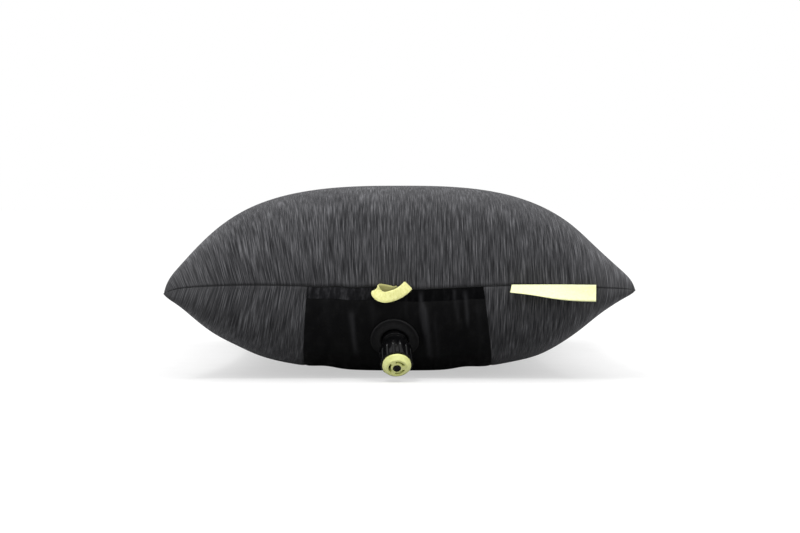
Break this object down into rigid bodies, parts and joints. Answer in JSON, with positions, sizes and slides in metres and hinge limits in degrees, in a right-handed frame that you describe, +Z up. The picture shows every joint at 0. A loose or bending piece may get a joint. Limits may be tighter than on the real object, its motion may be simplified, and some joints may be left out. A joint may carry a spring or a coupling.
{
  "type": "inflatable camp pillow",
  "caption": "Inflatable camp pillow with a jersey cover, dark centre panel with stuff pocket, twist valve on the end, hang loop and folded side label.",
  "frame": {"origin": "centre of the flat patch on the underside that rests on the ground", "axes": "+Z up, +Y along the length of the pillow away from the valve end, +X to the right seen from the valve end"},
  "size_m": [0.28, 0.43, 0.1191],
  "materials": {
    "jersey": "heathered charcoal jersey knit",
    "taffeta": "smooth black woven taffeta",
    "hem_knit": "dark grey gathered elastic hem",
    "patch_fabric": "bonded black reinforcement",
    "binding": "black seam tape",
    "lime_webbing": "pale lime webbing",
    "label_fabric": "very pale lime woven label",
    "foam": "soft quilted filling",
    "bladder_film": "coated bladder fabric",
    "soft_black": "soft satin",
    "black_plastic": "gloss",
    "silicone": "matte silicone",
    "seal_rubber": "satin",
    "spring_steel": "satin",
    "lime_plastic": "gloss lime green"
  },
  "bodies": {
    "pillow": {"cover_top": "jersey", "cover_bottom_left": "jersey", "cover_bottom_right": "jersey", "cover_bottom_centre": "taffeta", "stuff_pocket": "taffeta", "pocket_hem": "hem_knit", "valve_patch": "patch_fabric", "seam_binding": "binding", "seam_tapes": "binding", "comfort_layer": "foam", "bladder_top": "bladder_film", "bladder_bottom": "bladder_film", "bladder_baffles": "bladder_film", "bladder_tabs": "bladder_film", "valve_flange": "soft_black", "valve_neck": "black_plastic", "valve_seat": "black_plastic", "valve_spider": "black_plastic", "valve_stopper": "black_plastic", "stopper_seal": "seal_rubber", "neck_oring": "seal_rubber", "collar_clip": "spring_steel"},
    "grip_collar": {"valve_collar": "black_plastic"},
    "mouthpiece": {"mouthpiece": "lime_plastic"},
    "check_flap": {"check_flap": "silicone"},
    "side_label": {"side_label": "label_fabric"},
    "hang_loop": {"hang_loop": "lime_webbing"}
  },
  "joints": [
    {"name": "collar_twist", "type": "hinge", "parent": "pillow", "child": "grip_collar", "pos_m": [-0.00224, -0.19898, 0.01697], "axis": [0.0548, -0.7831, -0.6195], "range_deg": [0, 120]},
    {"name": "mouthpiece_lift", "type": "slide", "parent": "grip_collar", "child": "mouthpiece", "axis": [0.0548, -0.7831, -0.6195], "range_m": [0, 0.0033]},
    {"name": "check_flap_slide", "type": "slide", "parent": "pillow", "child": "check_flap", "axis": [-0.0548, 0.7831, 0.6195], "range_m": [0, 0.0015]},
    {"name": "label_flip", "type": "hinge", "parent": "pillow", "child": "side_label", "pos_m": [0.091, -0.20791, 0.0566], "axis": [0.9891, -0.147, 0], "range_deg": [-60, 20]},
    {"name": "loop_swing", "type": "hinge", "parent": "pillow", "child": "hang_loop", "pos_m": [0.005, -0.20212, 0.0566], "axis": [1, 0, 0], "range_deg": [-48, 28]}
  ],
  "couplings": [
    {"joint": "mouthpiece_lift", "follows": "collar_twist", "m_per_rad": 0.0015748}
  ]
}
